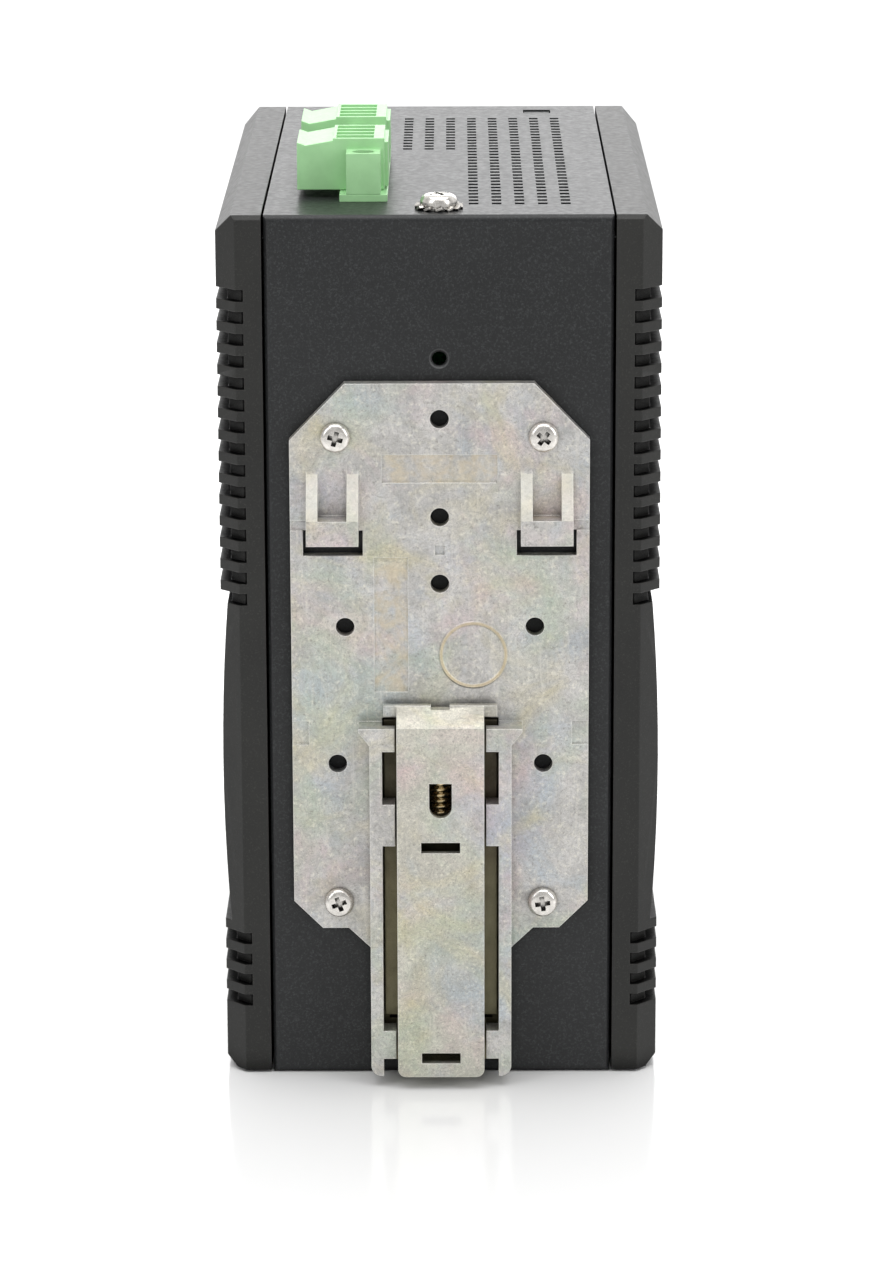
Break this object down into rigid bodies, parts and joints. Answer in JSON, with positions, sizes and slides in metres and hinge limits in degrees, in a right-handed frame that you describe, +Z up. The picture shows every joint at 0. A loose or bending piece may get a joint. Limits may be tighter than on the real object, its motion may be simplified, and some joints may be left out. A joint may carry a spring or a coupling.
{
  "type": "din rail ethernet switch",
  "caption": "Upright network switch with ribbed side covers, vented top with pluggable terminal blocks, and a sprung die-cast rail clip on its rear wall.",
  "frame": {"origin": "middle of the enclosure's bottom face", "axes": "+Z up, +Y towards the front with the ports, -Y towards the rail clip on the rear wall, +X to the right seen from the rear"},
  "size_m": [0.08, 0.1415, 0.1723],
  "materials": {
    "black_coat": "satin, fine texture",
    "charcoal_coat": "satin",
    "dark_screw": "satin",
    "zinc": "passivated zinc, satin",
    "spring_steel": "satin",
    "nickel": "bright",
    "green_plastic": "satin",
    "tinned_brass": "bright",
    "board": "gloss",
    "black_plastic": "matt",
    "shield": "satin",
    "lamp": "gloss",
    "bare_aluminium": "satin",
    "capacitor_can": "satin"
  },
  "bodies": {
    "chassis": {"housing_wrap": "black_coat", "front_bezel": "black_coat", "left_side_cover": "charcoal_coat", "right_side_cover": "charcoal_coat", "cover_screws": "dark_screw", "rail_plate": "zinc", "latch_spring": "spring_steel", "plate_screws": "nickel", "press_nuts": "nickel", "ground_screw": "nickel", "ground_washer": "nickel", "terminal_header_1": "green_plastic", "terminal_header_2": "green_plastic", "terminal_plug_1": "green_plastic", "terminal_plug_2": "green_plastic", "header_pins": "tinned_brass", "wire_clamps": "nickel", "clamp_screws": "nickel", "flange_screws": "nickel", "terminal_board": "board", "edge_connectors": "black_plastic", "main_board": "board", "power_board": "board", "board_standoffs": "nickel", "board_screws": "nickel", "ethernet_jack_1": "shield", "ethernet_jack_2": "shield", "ethernet_jack_3": "shield", "ethernet_jack_4": "shield", "ethernet_jack_5": "shield", "ethernet_jack_6": "shield", "ethernet_jack_7": "shield", "ethernet_jack_8": "shield", "jack_contacts": "tinned_brass", "fibre_cage_1": "shield", "fibre_cage_2": "shield", "status_leds": "lamp", "led_board": "board", "led_board_screws": "nickel", "switch_chip": "black_plastic", "heat_spreader": "bare_aluminium", "network_transformers": "black_plastic", "power_transformer": "black_plastic", "filter_capacitors": "capacitor_can", "power_inductors": "black_plastic"},
    "latch": {"rail_latch": "zinc"}
  },
  "joints": [
    {"name": "latch_slide", "type": "slide", "parent": "chassis", "child": "latch", "axis": [0, 0, -1], "range_m": [0, 0.004], "stiffness_N_per_m": 1500, "springref_m": -0.004, "deforming": ["latch_spring"]}
  ]
}
